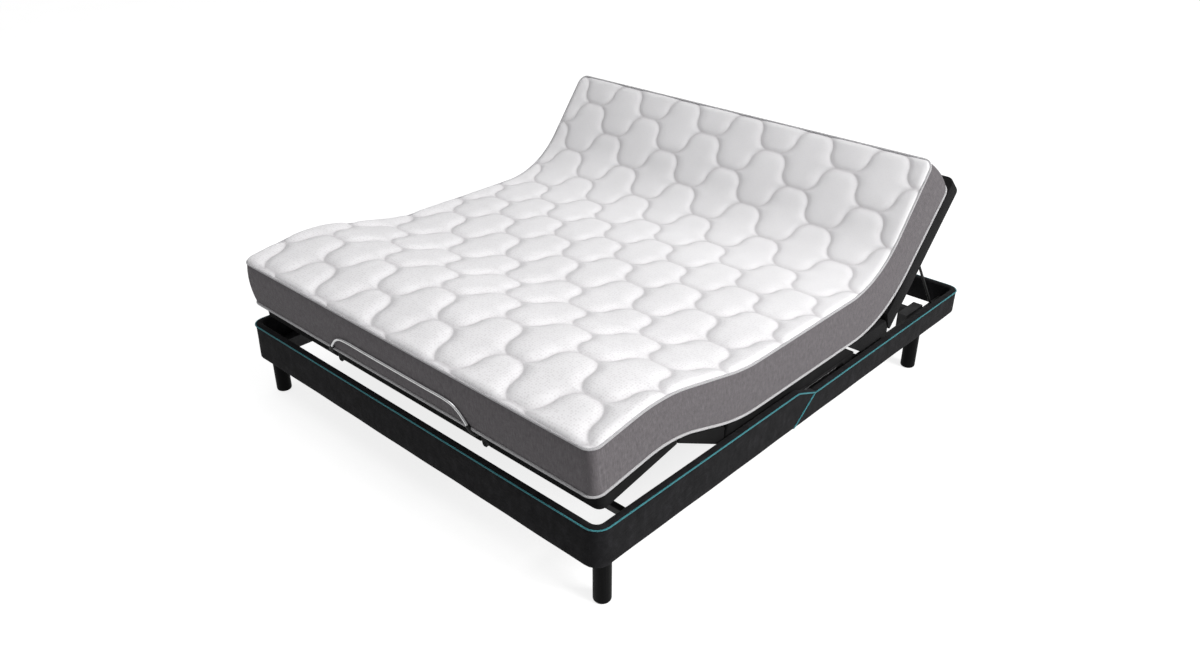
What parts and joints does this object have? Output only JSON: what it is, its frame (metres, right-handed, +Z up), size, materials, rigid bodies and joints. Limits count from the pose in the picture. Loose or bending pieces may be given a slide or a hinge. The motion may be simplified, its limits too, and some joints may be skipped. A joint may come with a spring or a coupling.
{
  "type": "adjustable bed base",
  "caption": "Motorised adjustable bed base with an upholstered frame, raised back, bent knee section, wire mattress retainer and a jointed quilted mattress.",
  "frame": {"origin": "on the floor, under the centre of the outer frame", "axes": "+Z up, +Y towards the head end, +X to the right when looking from the foot towards the head"},
  "size_m": [1.645, 2, 0.806],
  "materials": {
    "rail_upholstery": "charcoal velvet-like fabric",
    "deck_upholstery": "black woven fabric",
    "mattress_ticking": "quilted white knit with heather grey border",
    "leg_finish": "satin black",
    "bright_steel": "bright",
    "black_plastic": "matte black",
    "stay_rubber": "black elastic",
    "black_steel": "black powder coat"
  },
  "bodies": {
    "frame": {"rail_foot": "rail_upholstery", "rail_head": "rail_upholstery", "rail_side_foot_left": "rail_upholstery", "rail_side_foot_right": "rail_upholstery", "rail_side_head_left": "rail_upholstery", "rail_side_head_right": "rail_upholstery", "leg_foot_left": "leg_finish", "leg_foot_right": "leg_finish", "leg_head_left": "leg_finish", "leg_head_right": "leg_finish", "side_beam_left": "black_steel", "side_beam_right": "black_steel", "cross_member_foot": "black_steel", "cross_member_centre": "black_steel", "cross_member_head": "black_steel", "seat_support_left": "black_steel", "seat_support_right": "black_steel", "hip_post_left": "black_steel", "hip_post_right": "black_steel", "deck_seat": "deck_upholstery", "deck_hip": "deck_upholstery", "back_hinge_lug_fixed_left": "black_steel", "back_hinge_lug_fixed_right": "black_steel", "thigh_hinge_lug_fixed_left": "black_steel", "thigh_hinge_lug_fixed_right": "black_steel", "back_motor": "black_plastic", "thigh_motor": "black_plastic", "control_box": "black_plastic", "mattress_seat": "mattress_ticking", "stay_left": "stay_rubber", "stay_right": "stay_rubber"},
    "back_section": {"deck_back": "deck_upholstery", "back_hinge_lug_moving_left": "black_steel", "back_hinge_lug_moving_right": "black_steel", "back_lever": "black_steel", "mattress_back": "mattress_ticking"},
    "thigh_section": {"deck_thigh": "deck_upholstery", "thigh_hinge_lug_moving_left": "black_steel", "thigh_hinge_lug_moving_right": "black_steel", "knee_hinge_lug_fixed_left": "black_steel", "knee_hinge_lug_fixed_right": "black_steel", "thigh_lever": "black_steel", "mattress_thigh": "mattress_ticking"},
    "foot_section": {"deck_foot": "deck_upholstery", "knee_hinge_lug_moving_left": "black_steel", "knee_hinge_lug_moving_right": "black_steel", "retainer_bar": "bright_steel", "retainer_clamp_left": "black_plastic", "retainer_clamp_right": "black_plastic", "mattress_foot": "mattress_ticking"},
    "back_rod": {"back_push_rod": "bright_steel"},
    "thigh_rod": {"thigh_push_rod": "bright_steel"}
  },
  "joints": [
    {"name": "back_hinge", "type": "hinge", "parent": "frame", "child": "back_section", "pos_m": [0, 0.4907, 0.268], "axis": [1, 0, 0], "range_deg": [-47.5, 10.5], "deforming": ["stay_left", "stay_right"]},
    {"name": "thigh_hinge", "type": "hinge", "parent": "frame", "child": "thigh_section", "pos_m": [0, -0.43, 0.268], "axis": [-1, 0, 0], "range_deg": [-21.1, 13.9]},
    {"name": "knee_hinge", "type": "hinge", "parent": "thigh_section", "child": "foot_section", "pos_m": [0, -0.64766, 0.35949], "axis": [1, 0, 0], "range_deg": [-26.7, 17.6]},
    {"name": "back_rod_slide", "type": "slide", "parent": "frame", "child": "back_rod", "axis": [0, 1, 0], "range_m": [-0.0796, 0.0177]},
    {"name": "thigh_rod_slide", "type": "slide", "parent": "frame", "child": "thigh_rod", "axis": [0, -1, 0], "range_m": [-0.0364, 0.024]}
  ],
  "couplings": [
    {"joint": "knee_hinge", "follows": "thigh_hinge", "ratio": 1.2607},
    {"joint": "back_rod_slide", "follows": "back_hinge", "m_per_rad": 0.0958},
    {"joint": "thigh_rod_slide", "follows": "thigh_hinge", "m_per_rad": 0.0985}
  ]
}
